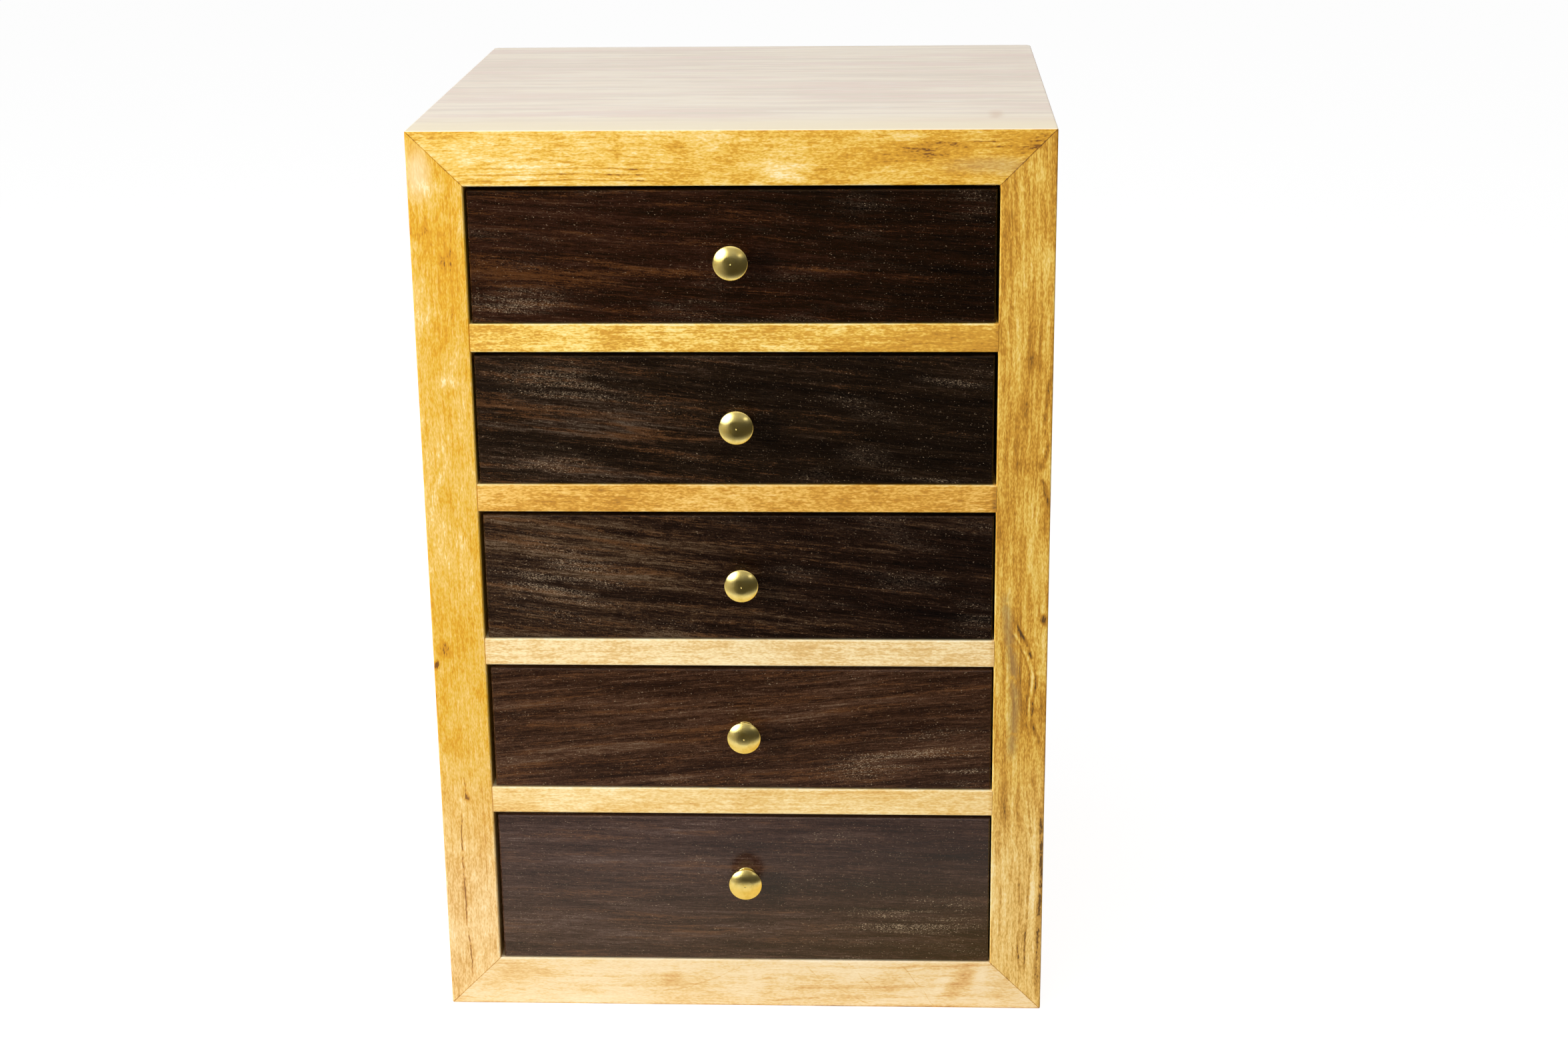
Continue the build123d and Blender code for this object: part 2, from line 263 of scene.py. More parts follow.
SKY_LIGHT, SKY_SEEN = 0.27, 1.0
world = bpy.data.worlds.new("studio")
scene.world = world
world.use_nodes = True
tree = world.node_tree
tree.nodes.clear()
ray = node(tree, "LightPath")
seen = ray.outputs["Is Camera Ray"]
for kind in ("Is Glossy Ray", "Is Transmission Ray"):
    seen = node(tree, "Math", {0: seen, 1: ray.outputs[kind]}, operation="MAXIMUM")
strength = node(tree, "MapRange", {0: seen, 3: SKY_LIGHT, 4: SKY_SEEN})
sky = node(tree, "Background", {"Color": rgb("#ffffff"), "Strength": strength})
node(tree, "OutputWorld", {"Surface": sky})

# %% [markdown]
# Wood could be painted on each face, but a board is solid: its growth rings
# and fibres run right through. So the patterns are worked out in space, from
# Object coordinates in millimetres, turned so that the first axis runs along
# the fibre. Blotches of a given length and width then stand for everything
# from a stain of several centimetres to a single fibre.

# %% Wood patterns
FIBRE_TURN = {"x": (0, 0, 0), "y": (0, 0, -math.pi / 2), "z": (0, math.pi / 2, 0)}


def millimetres(tree, fibre="x", shift=(0, 0, 0), lean=0.0):
    """Object coordinates in mm, with the first axis along the fibre."""
    turn = Vector(FIBRE_TURN[fibre]) + Vector((0, lean, 0))
    here = node(tree, "TexCoord").outputs["Object"]
    moved = {"Vector": here, "Scale": [1 / MM] * 3, "Rotation": turn, "Location": shift}
    return node(tree, "Mapping", moved)


def blotches(tree, where, size, detail=2.0, rough=0.5):
    """Soft random blotches of that size in mm, along and across the fibre."""
    per_mm = [1 / length for length in size]
    stretched = node(tree, "VectorMath", {0: where, 1: per_mm}, operation="MULTIPLY")
    noise = {"Vector": stretched, "Scale": 1.0, "Detail": detail, "Roughness": rough}
    return node(tree, "TexNoise", noise)


def wandering(tree, where, size, amount):
    """The same coordinates, pushed about so that straight grain wanders."""
    push = blotches(tree, where, size).outputs["Color"]
    return node(tree, "VectorMath", {0: push, 1: amount, 2: where}, operation="MULTIPLY_ADD")


def mask(tree, value, low, high, top=1.0):
    """How far a value is from low to high, eased, as 0 to top."""
    ends = {0: value, 1: low, 2: high, 4: top}
    return node(tree, "MapRange", ends, interpolation_type="SMOOTHSTEP")


print("fibres can run along", ", ".join(FIBRE_TURN))

# %% [markdown]
# Patterns become wood in two steps. They are added up to one tone, each with
# its own share, and marks make that tone darker or paler where they lie. A
# palette of eight colours then turns the tone into the wood's own colours.

# %% From patterns to colours
def tint(tree, colour, amount, over):
    """One colour over another by an amount."""
    over = rgb(over) if isinstance(over, str) else over
    return node(tree, "MixRGB", {"Fac": amount, "Color1": colour, "Color2": over})


def product(tree, a, b):
    """Two masks as one, strong only where both are."""
    return node(tree, "Math", {0: a, 1: b}, operation="MULTIPLY")


def summed(tree, parts, total=0.5):
    """A start value plus each pattern times its share, the pattern counted from its middle."""
    for pattern, share in parts:
        part = node(tree, "Math", {0: pattern, 1: 0.5}, operation="SUBTRACT")
        total = node(tree, "Math", {0: part, 1: share, 2: total}, operation="MULTIPLY_ADD")
    return total


def change_tone(tree, tone, mark, change):
    """The tone made paler or darker where a mark is."""
    return node(tree, "Math", {0: mark, 1: change, 2: tone}, operation="MULTIPLY_ADD")


def finish_surface(material, colour, rough, bump):
    """Links what a surface's three patterns drive in its shader."""
    links, shader = material.node_tree.links, material.node_tree.nodes["Principled BSDF"]
    links.new(colour.outputs[0], shader.inputs["Base Color"])
    links.new(rough.outputs[0], shader.inputs["Roughness"])
    links.new(bump.outputs[0], shader.inputs["Normal"])
    return material


TONES = (0.0, 0.12, 0.34, 0.44, 0.5, 0.56, 0.67, 0.85)


def palette(tree, tone, colours):
    """Eight colours from the darkest marks to the palest wood, picked by a tone of 0 to 1."""
    return node(tree, "ValToRGB", {0: tone}, zip(TONES, colours.split()))


print("tones of the palette:", TONES)

# %% [markdown]
# A tree leaves marks that no even pattern gives: a knot, a stain, a dark vein
# along one ring, a crack. Each is a mask with its place in millimetres. Most
# only make the wood's tone darker or paler, so the grain still runs through
# them, and a few lay a colour of their own over it.

# %% Stains and veins
FRONT = -cad_high.y / MM
# A patch marks a stain in the wood, and on the drawer fronts a cloud of painted sheen.
PATCH_PUSH = 4      # how far noise moves a stain's outline, half of it on average
PATCH_DEPTH = 14
VEIN_FADE = 0.12    # share of a vein's length over which each end fades


def rounded_patch(x, z, width, height, strength=1.0, core=0.1, y=FRONT, lean=0.0):
    """A rounded patch, strongest in its middle, that may lean to the right."""

    def build(tree):
        here = wandering(tree, millimetres(tree), (7, 7, 7), [PATCH_PUSH] * 3)
        middle = [place + PATCH_PUSH / 2 for place in (x, y, z)]
        away = node(tree, "VectorMath", {0: here, 1: middle}, operation="SUBTRACT")
        turned = node(tree, "Mapping", {"Vector": away, "Rotation": (0, math.radians(lean), 0)})
        per_mm = (1 / width, 1 / PATCH_DEPTH, 1 / height)
        away = node(tree, "VectorMath", {0: turned, 1: per_mm}, operation="MULTIPLY")
        far = node(tree, "VectorMath", {0: away}, operation="LENGTH")
        return mask(tree, far.outputs["Value"], 1.0, core, strength)

    return build


def vein(points, width, strength=1.0, upright=True, jitter=1.0):
    """A thin line through points: (z, x) if it is upright, or (x, z)."""
    along = [p[0] for p in points]
    across = [p[1] for p in points]
    start, length = min(along), max(along) - min(along)
    low, span = min(across) - 1, max(across) - min(across) + 2

    def build(tree):
        here = wandering(tree, millimetres(tree), (4, 4, 4), (jitter, 0, jitter))
        axes = node(tree, "SeparateXYZ", {0: here})
        run, side = ("Z", "X") if upright else ("X", "Z")
        share = node(tree, "MapRange", {0: axes.outputs[run], 1: start, 2: max(along)})
        stops = [((a - start) / length, (c - low) / span) for a, c in sorted(points)]
        curve = node(tree, "ValToRGB", {0: share}, stops)
        curve.color_ramp.interpolation = "CARDINAL"
        line = node(tree, "MapRange", {0: curve, 3: low, 4: low + span})
        gap = node(tree, "Math", {0: axes.outputs[side], 1: line}, operation="SUBTRACT")
        gap = node(tree, "Math", {0: gap}, operation="ABSOLUTE")
        ends = product(tree, mask(tree, share, 0, VEIN_FADE), mask(tree, share, 1, 1 - VEIN_FADE))
        broken = mask(tree, blotches(tree, millimetres(tree), (5, 5, 5)), 0.3, 0.52, strength)
        return product(tree, product(tree, mask(tree, gap, width, 0), ends), broken)

    return build


print("the case's front face is at", round(FRONT, 1), "mm")

# %% [markdown]
# Other marks belong to a whole region: everything below a height, the end
# that lies in the sun, the top face, or the thin dark line where two boards
# meet at a mitre. They fade along an axis instead of round a middle.

# %% Marks that cover a region
SKIN_IN, SKIN_OUT = 0.35, 0.1           # mm below the top face where it fades in
MITRE_LINE_OUT, MITRE_LINE_IN = 0.4, 0.1  # mm from the mitre where its line fades in


def level(low, high, strength=1.0, axis="Z", wander=8):
    """Fades in along an axis, from one place to another."""

    def build(tree):
        here = wandering(tree, millimetres(tree), (14, 8, 14), (wander, wander, wander))
        return mask(tree, node(tree, "SeparateXYZ", {0: here}).outputs[axis], low, high, strength)

    return build


def streaks(where, size, low, high):
    """A mark only where fine streaks of that size along x are strong."""

    def build(tree):
        lines = blotches(tree, millimetres(tree), size, 3, 0.6)
        return product(tree, where(tree), mask(tree, lines, low, high))

    return build


def top_face(from_front=0.0, to=0.0):
    """The upward face, or its front edge only: whole at the first distance, gone at the other."""

    def build(tree):
        here = node(tree, "SeparateXYZ", {0: millimetres(tree)})
        up = mask(tree, here.outputs["Z"], size[2] - SKIN_IN, size[2] - SKIN_OUT)
        if not to:
            return up
        uneven = wandering(tree, millimetres(tree), (60, 6, 6), (0, 5, 0))
        back = node(tree, "SeparateXYZ", {0: uneven}).outputs["Y"]
        return product(tree, up, mask(tree, back, FRONT + to, FRONT + from_front))

    return build


def mitre_line(tree):
    """Thin where two boards meet at a corner of the case, seen from the front."""
    here = node(tree, "VectorMath", {0: millimetres(tree)}, operation="ABSOLUTE")
    axes = node(tree, "SeparateXYZ", {0: here})
    inward = node(tree, "Math", {0: size[0] / 2, 1: axes.outputs["X"]}, operation="SUBTRACT")
    above = node(tree, "Math", {0: size[2], 1: axes.outputs["Z"]}, operation="SUBTRACT")
    up = node(tree, "Math", {0: above, 1: axes.outputs["Z"]}, operation="MINIMUM")
    gap = node(tree, "Math", {0: inward, 1: up}, operation="SUBTRACT")
    gap = node(tree, "Math", {0: gap}, operation="ABSOLUTE")
    return mask(tree, gap, MITRE_LINE_OUT, MITRE_LINE_IN)


print("the top face is at", size[2], "mm")

# %% [markdown]
# The case is hard maple, planed, sanded and rubbed with a clear oil that turns
# it honey gold. The eye sees amber patches, short amber strokes in groups,
# wavy ring lines, and everywhere crisp fibres that break up the rest. All of
# these add up to one tone, and the tone picks a colour between knot brown and
# cream, so that dark and pale always differ in the way this wood does. Each
# board gets its own colours, its own part of the tree and its own marks.
# Toward the foot the side boards are painted paler, with colours of their
# own: painted light thrown up from the white paper. Fibres finer than half a
# millimetre are drawn coarser, or the picture would lose them.

# %% Oiled maple
MAPLE = {
    "colours": "#7a4c14 #cc8c14 #daa01c #deb038 #e1b348 #e3b757 #ebc36a #f8e2ac",
    "patches": ((22, 9, 9), 0.6),
    "mottle": ((6, 2.2, 2.2), 0.42),
    "streak": ((13, 0.8, 0.8), 0.38),
    "strokes": -0.13,
    "grain": 0.2,
    "ring": 2.2,
    "pith": (-60, -90),
    "rings": 0.12,
    "wander": 6,
    "roughness": 0.42,
    "coat": 0.05,
}
WAVE_SPACING = 0.31416      # the scale at which a wave texture repeats every unit
# The foot's paler colours are painted light thrown up from the white paper.
FOOT_FROM, FOOT_TO = 140, 45    # heights between which the foot's colours come in


def maple(name, fibre, shift, marks=(), stains_and_painted_light=(), ring_place=None, **look):
    """Maple with its fibre along x, y or z, cut from its own part of the tree."""
    look = {**MAPLE, **look}
    material, tree, shader = new_material(name)
    board = millimetres(tree, fibre, shift)
    wavy = wandering(tree, board, (70, 28, 28), (0, look["wander"], look["wander"]))
    curly = wandering(tree, wavy, (8, 3.5, 3.5), (0, 0.8, 0.8))

    strokes = mask(tree, blotches(tree, curly, (6.5, 0.75, 0.75), 2, 0.6), 0.53, 0.64)
    strokes = product(tree, strokes, mask(tree, blotches(tree, wavy, (20, 8, 8)), 0.42, 0.6))
    fibres = mask(tree, blotches(tree, curly, (4.2, 0.6, 0.6), 2, 0.6), 0.33, 0.67)
    grains = mask(tree, blotches(tree, curly, (1.5, 0.48, 0.48), 1), 0.33, 0.67)
    parts = [(blotches(tree, wavy, look[kind][0]), look[kind][1]) for kind in ("patches", "mottle")]
    parts.append((blotches(tree, curly, look["streak"][0], 2, 0.6), look["streak"][1]))
    parts += [(fibres, look["grain"] * 0.55), (grains, look["grain"])]
    tone = summed(tree, parts)

    pith_y, pith_z = look["pith"]
    from_pith = node(tree, "VectorMath", {0: curly, 1: (0, -pith_y, -pith_z)}, operation="ADD")
    scale = WAVE_SPACING / look["ring"]
    wave = {"Vector": from_pith, "Scale": scale, "Distortion": 0.5, "Detail": 1.0}
    kind = {"wave_type": "RINGS", "rings_direction": "X", "wave_profile": "SAW"}
    rings = node(tree, "TexWave", wave, **kind)
    late = mask(tree, rings.outputs["Fac"], 0.55, 0.95)
    seen = mask(tree, blotches(tree, board, (50, 12, 12)), 0.44, 0.62, look["rings"])
    if ring_place:
        seen = node(tree, "Math", {0: seen, 1: ring_place(tree)}, operation="MAXIMUM")
    tone = change_tone(tree, tone, product(tree, late, seen), -1.0)
    tone = change_tone(tree, tone, strokes, look["strokes"])
    for mark, change in marks:
        tone = change_tone(tree, tone, mark(tree), change)
    colour = palette(tree, tone, look["colours"])
    # Toward the table a paler palette is mixed in, as painted light from the paper.
    if "floor_lit_foot" in look:
        painted_floor_light = level(FOOT_FROM, FOOT_TO, wander=24)
        colour = tint(tree, colour, painted_floor_light(tree), palette(tree, tone, look["floor_lit_foot"]))
    # Stains, and painted light and painted shadow, laid over as colours.
    for mark, shade in stains_and_painted_light:
        colour = tint(tree, colour, mark(tree), shade)

    height = tint(tree, grains, 0.5, fibres)
    bump = node(tree, "Bump", {"Height": height, "Strength": 0.3, "Distance": 0.05 * MM})
    low = look["roughness"]
    rough = node(tree, "MapRange", {0: tone, 1: 0.2, 2: 0.8, 3: low + 0.08, 4: low - 0.05})
    shader.inputs["Specular IOR Level"].default_value = 0.3
    shader.inputs["Coat Weight"].default_value = look["coat"]
    shader.inputs["Coat Roughness"].default_value = 0.2
    return finish_surface(material, colour, rough, bump)


def dress(material, *nodes):
    """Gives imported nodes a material."""
    for name in nodes:
        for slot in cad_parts[name].material_slots:
            slot.material = material
    print(material.name, "->", ", ".join(nodes))


# %% [markdown]
# The marks were read off the boards one by one: where the amber lies, where
# the rings show, where a knot or a crack sits. Each gives its place, its
# width and height, and how much it darkens (-) or pales the tone. Opening
# edges are painted a little paler, a painted highlight where light catches
# their rounded arrises, and the last millimetre above the table is painted
# darker, a painted contact shadow where the wood meets the table. The top
# board's upper face is painted far paler than its front, as painted light
# from above and a painted sheen of the white wall: these colours lie over the
# gold one after another, in ever finer streaks, with a cream edge that fades
# in toward the front.

# %% The top and bottom boards
MITRE = (mitre_line, -0.36)
TOP_MARKS = [
    (level(-10, 105, axis="X"), -0.12),
    (rounded_patch(-78, 335, 44, 14), 0.1),
    (rounded_patch(80, 339.5, 44, 6), -0.1),
    (rounded_patch(60, 337, 26, 5), -0.09),
    (rounded_patch(104, 340, 10, 4), -0.08),
    (rounded_patch(-19, 341, 7, 7), -0.16),
    (rounded_patch(2, 340, 5, 8), -0.1),
    (rounded_patch(20, 331, 11, 5), 0.2),
    (rounded_patch(64, 343.8, 11, 3), 0.24),
    (rounded_patch(36, 341, 10, 4), 0.1),
    (rounded_patch(70.4, 338, 3.6, 2.4), -0.1),
    (rounded_patch(49.7, 333.4, 4, 1.6), -0.09),
    (rounded_patch(-40, 341, 3, 12), -0.1),
    (rounded_patch(30, 330, 16, 1.6, lean=-12), -0.14),
    (vein([(48, 339.5), (67, 342.6), (77, 341.4), (95, 342.4), (109, 343.5), (115, 344.8)],
          0.8, upright=False, jitter=0.4), -0.15),
    (vein([(60, 338.0), (76, 340.6), (88, 340.2), (102, 341.2), (113, 342.8)],
          0.7, upright=False, jitter=0.4), -0.12),
    (vein([(-94, 333.7), (-80, 336), (-65, 336.5), (-51, 334.6), (-37, 333), (-18, 331.5)],
          0.7, upright=False), -0.2),
    (vein([(-90, 330.4), (-74, 331.8), (-56, 331.2), (-40, 329.6), (-22, 328.6)],
          0.6, upright=False), -0.17),
    # Painted highlight along the rounded lower edge of the opening.
    (level(327.2, 326.7, wander=0), 0.14),
    MITRE,
]
TOP_STAINS_AND_LIGHT = [
    (rounded_patch(94, 333.5, 26, 5, 0.4), "#b39468"),
    # The upper face: painted light and painted sheen from above, in ever finer streaks, and a cream
    # front edge.
    (top_face(), "#fdf0dc"),
    (streaks(top_face(), (90, 14, 14), 0.4, 0.64), "#f4e0d0"),
    (streaks(top_face(), (110, 5, 5), 0.46, 0.66), "#eedfcc"),
    (streaks(top_face(), (34, 1.6, 1.6), 0.52, 0.74), "#e9d9c6"),
    (streaks(top_face(), (22, 1.1, 1.1), 0.54, 0.74), "#fff7ea"),
    (top_face(4, 42), "#fff0cf"),
    (rounded_patch(95, 346, 4, 4, 0.45, y=-77), "#d9b493"),
]
BOTTOM_MARKS = [
    (rounded_patch(85, 11, 6, 14, lean=-35), -0.26),
    (rounded_patch(101, 9, 9, 10), -0.16),
    (rounded_patch(92.5, 15, 4, 7, lean=-35), 0.14),
    (rounded_patch(76, 8, 3, 12, lean=-25), 0.12),
    (rounded_patch(56, 9, 7, 9), -0.12),
    (rounded_patch(-28, 12, 6, 6), -0.16),
    (rounded_patch(11, 9, 5, 6), -0.13),
    (rounded_patch(-60, 6, 12, 4), -0.1),
    (vein([(40, 20.5), (45.5, 14.8), (50.6, 9), (52, 4)], 0.5, upright=False), -0.2),
    (vein([(-40, 6), (-20, 9), (-8, 14), (4, 19)], 0.5, upright=False), -0.2),
    (vein([(24, 19), (30, 12), (42, 6), (52, 1)], 0.5, upright=False), -0.17),
    (vein([(60, 20), (66, 14), (72, 6), (75, 1)], 0.5, upright=False), -0.2),
    # Painted highlight along the rounded upper edge of the opening.
    (level(18.9, 19.8, wander=0), 0.14),
    # Painted contact shadow in the last millimetre above the table.
    (level(1.0, 0.3, wander=0), -0.3),
    MITRE,
]
TOP = {"colours": "#7a4c16 #c0861c #d8a02c #e4b648 #e9be57 #edc567 #f2d184 #fae6b4"}
BOTTOM = {
    # Pale cream colours, painted light thrown up from the white paper.
    "colours": "#a87a44 #d8a25e #e9c483 #efd096 #f2d6a3 #f4daab #f8e1b6 #fceac8",
    "patches": ((34, 12, 12), 0.6),
    "mottle": ((9, 3.5, 3.5), 0.3),
    "strokes": -0.1,
    "grain": 0.14,
    "ring": 3.4,
    "pith": (-120, 90),
    "rings": 0.16,
}
RINGS_SHOW = rounded_patch(-60, 330, 70, 7, 0.34)
top = maple("oiled_maple_top", "x", (0, 0, 0), TOP_MARKS, TOP_STAINS_AND_LIGHT, RINGS_SHOW, **TOP)
dress(top, "top_board")
dress(maple("oiled_maple_bottom", "x", (300, 40, 9), BOTTOM_MARKS, **BOTTOM), "bottom_board")

# %% [markdown]
# On the side boards the fibre stands upright, so their front edges show long
# narrow figure. The left board is an even gold, with a small dark knot and a
# fine crack near the foot. The right board is wilder and darker: brown veins
# wander down its edge, and a grey-brown streak runs beside one of them.

# %% The side boards
LEFT_MARKS = [
    (rounded_patch(-104, 302, 10, 15), -0.16),
    (rounded_patch(-110, 312, 9, 8), -0.12),
    (rounded_patch(-101, 318, 4, 12), -0.1),
    (rounded_patch(-107, 286, 11, 10), -0.07),
    (rounded_patch(-109, 268, 9, 10), -0.18),
    (rounded_patch(-107.4, 276.4, 3, 5), -0.1),
    (rounded_patch(-110, 279, 14, 5), 0.1),
    (rounded_patch(-111, 331, 8, 14), 0.12),
    (rounded_patch(-106, 210, 12, 60), 0.04),
    (rounded_patch(-108, 326, 9, 4), 0.16),
    (rounded_patch(-104, 254, 9, 4), 0.2),
    (rounded_patch(-108, 243, 8, 10), -0.12),
    (rounded_patch(-114.4, 143.5, 1.6, 3), -0.55),
    (rounded_patch(-111.5, 150, 4, 6), -0.22),
    (rounded_patch(-105.6, 88.4, 2.4, 2.6), -0.4),
    (vein([(86, -107.6), (72, -108.4), (51, -108.1), (36, -108.1), (25, -107.2), (9, -106.9)],
          0.5), -0.6),
    (vein([(98, -106.2), (92, -105.9), (88, -106.0)], 0.4), -0.4),
    (level(-115.0, -115.7, 1.0, "X", 0.6), -0.12),
    MITRE,
]
LEFT_STAINS_AND_SHADE = [
    (rounded_patch(-112, 331, 7, 14, 0.55), "#f6dcb0"),
    # Painted contact shadow in the last millimetre above the table.
    (level(1.0, 0.3, 0.5, wander=0), "#b98c50"),
]
# The foot's paler colours are painted light thrown up from the white paper.
LEFT = {"floor_lit_foot": "#9a6c38 #cb9550 #dcae64 #e8be7c #edc786 #f0cd8e #f4d69c #fae8c6"}
left = maple("oiled_maple_left", "z", (70, 10, 30), LEFT_MARKS, LEFT_STAINS_AND_SHADE, **LEFT)
dress(left, "left_side_board")

RIGHT_MARKS = [
    (rounded_patch(106, 312, 13, 26), -0.07),
    (rounded_patch(106, 158, 12, 28), -0.06),
    (rounded_patch(111, 312, 5, 18), -0.12),
    (rounded_patch(106.5, 280, 4, 24), -0.12),
    (rounded_patch(108, 262, 9, 6), -0.12),
    (rounded_patch(104, 240, 5, 26), -0.1),
    (vein([(262, 115.0), (248, 114.4), (238, 113.8), (228, 114.4), (222, 113.0), (215, 113.9),
           (205, 115.4)], 1.5, jitter=0.6), -0.42),
    (rounded_patch(107, 223, 9, 4), -0.14),
    (rounded_patch(112, 185, 5, 22), 0.14),
    (rounded_patch(114.2, 162.1, 1.6, 4), -0.6),
    (vein([(166, 103), (157, 106.8), (148, 110.7), (141, 112.3), (133, 111.7), (122, 111.2),
           (114, 113.8), (110, 115.6)], 1.3), -0.45),
    (vein([(162, 101), (155, 104.6), (147, 108.4), (139, 109.9), (131, 109.3), (121, 109.2),
           (113, 111)], 0.9), -0.22),
    (vein([(160, 103), (150, 108.0), (141, 110.9), (132, 110.4), (121, 110.0)], 1.2), 0.3),
    (rounded_patch(112.5, 52, 2.4, 30), 0.2),
    (vein([(95, 110), (87, 110.5), (73, 111.6), (53, 111.1), (33, 110.2), (12, 109.9)], 0.9), -0.35),
    (vein([(90, 115.2), (62, 115.6), (39, 115.0), (21, 114.6), (2, 114.8)], 1.3), -0.4),
    (vein([(60, 107), (45, 107.8), (30, 107.1), (14, 108.4)], 0.7), -0.25),
    # Painted shade along the rounded outer edge, which turns away from the light.
    (level(114.9, 115.9, 1.0, "X", 0.8), -0.08),
    # Painted highlight along the rounded edge of the opening.
    (level(96.8, 96.2, 1.0, "X", 0.0), 0.12),
    MITRE,
]
RIGHT_STAINS_AND_SHADE = [
    (vein([(176, 100.5), (166, 101), (157, 101.8), (147, 103.3), (133, 104.5), (117, 104.0),
           (104, 103.4)], 3.4, 0.6), "#93764a"),
    # Painted contact shadow in the last millimetre above the table.
    (level(1.0, 0.3, 0.5, wander=0), "#a87c44"),
]
RIGHT = {
    "colours": "#5a3c14 #9a6814 #ba8220 #cb942e #d3a038 #daab44 #e5bf58 #f2d486",
    # The foot's paler colours are painted light thrown up from the white paper.
    "floor_lit_foot": "#6a4a1c #b5863a #cfa14c #dfb462 #e7be6c #ecc676 #f2d28a #f9e2ac",
    "patches": ((55, 6, 6), 0.75),
    "mottle": ((18, 2, 2), 0.55),
    "streak": ((30, 0.8, 0.8), 0.5),
    "strokes": -0.1,
    "rings": 0.14,
}
right = maple("oiled_maple_right", "z", (500, -30, 80), RIGHT_MARKS, RIGHT_STAINS_AND_SHADE, **RIGHT)
dress(right, "right_side_board")

# %% [markdown]
# The dividers are narrow strips of the same wood, cut from four places. The
# upper two are honey gold and the lower two cream, a paleness that is painted
# light thrown up from the white paper. The first three darken a little to the
# right. Their upper and lower edges are painted paler, a painted highlight on
# their rounded arrises, and their right end is painted darker, a painted shade
# in the corner of the opening.

# %% The dividers
DIVIDERS = [
    {
        "shift": (10, 20, 400),
        "colours": "#7a501c #bb8322 #d0982e #dba83c #e8bd50 #efc967 #f6d880 #fbe6a8",
        "to_right": -0.14,
    },
    {
        "shift": (210, 25, 130),
        "colours": "#7a501c #a87626 #c38826 #d29b38 #dca744 #e5b353 #efc36b #f6d78f",
        "to_right": -0.06,
    },
    {
        "shift": (40, 80, 200),
        # Paler colours: painted light thrown up from the white paper.
        "colours": "#9a7440 #cfa362 #e1b974 #e9c98c #efd299 #f3daa6 #f9e3b0 #fdeec8",
        "to_right": -0.02,
    },
    {
        "shift": (640, 5, 77),
        # Paler colours: painted light thrown up from the white paper.
        "colours": "#9a7440 #d49e54 #e6bb6a #ecc880 #efcd89 #f3d494 #f9dfa3 #fdecc4",
        "to_right": 0.0,
    },
]
DIVIDER_GRAIN = {
    "patches": ((26, 9, 9), 0.6),
    "mottle": ((6, 2, 2), 0.35),
    "streak": ((8, 0.7, 0.7), 0.36),
    "strokes": -0.12,
    "wander": 3,
}
for number, look in enumerate(DIVIDERS, 1):
    low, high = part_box(f"divider_{number}")
    edges = [
        # Painted highlights along the rounded upper and lower edges.
        (level(high.z / MM - 0.7, high.z / MM - 0.3, wander=0), 0.2),
        (level(low.z / MM + 0.6, low.z / MM + 0.2, wander=0), 0.1),
        # Painted shade at the right end, in the corner of the opening.
        (level(94.5, 95.8, 1.0, "X", 0.6), -0.15),
        (level(0, 80, 1.0, "X"), look.pop("to_right")),
    ]
    wood = maple(f"oiled_maple_divider_{number}", "x", marks=edges, **DIVIDER_GRAIN, **look)
    dress(wood, f"divider_{number}")

# %% [markdown]
# The drawer fronts are a dark rosewood, planed and oiled. The eye sees bands
# from near black to red-brown under long fine fibres, and thousands of short
# open pores. Where the planed surface cuts them at the right slope, the pores
# catch the light as clouds of pale dashes, painted here as sheen: a grey haze
# and pale painted glints on the pores. Each front was cut from its own piece,
# so each has its own slope of grain, its own tone and its own clouds of
# painted sheen. Open pores swallow part of the gloss, so the shader's specular
# level is low and the sheen is painted in instead. The bottom front got more
# oil: it is glossier, and mirrors the paper before it as a grey-brown veil,
# which its greyer colours also paint as a painted reflection.

# %% Rosewood
ROSEWOOD = {
    "colours": "#050201 #0b0401 #190a01 #200d03 #261105 #2a1307 #351d0f #4c3625",
    "lean": 0.0,
    "bands": ((80, 5, 4), 0.85),
    "sheen_clouds": (),
    "marks": (),
    # How strongly the pores show pale painted glints.
    "pores": 0.6,
    "gloss": 0.2,
}
# A red-brown band in the wood, then the painted sheen's grey haze and pale glints.
WARM_BAND, PAINTED_SHEEN, PAINTED_PORE_GLINT = "#5b3512", "#7a6450", "#a28d72"


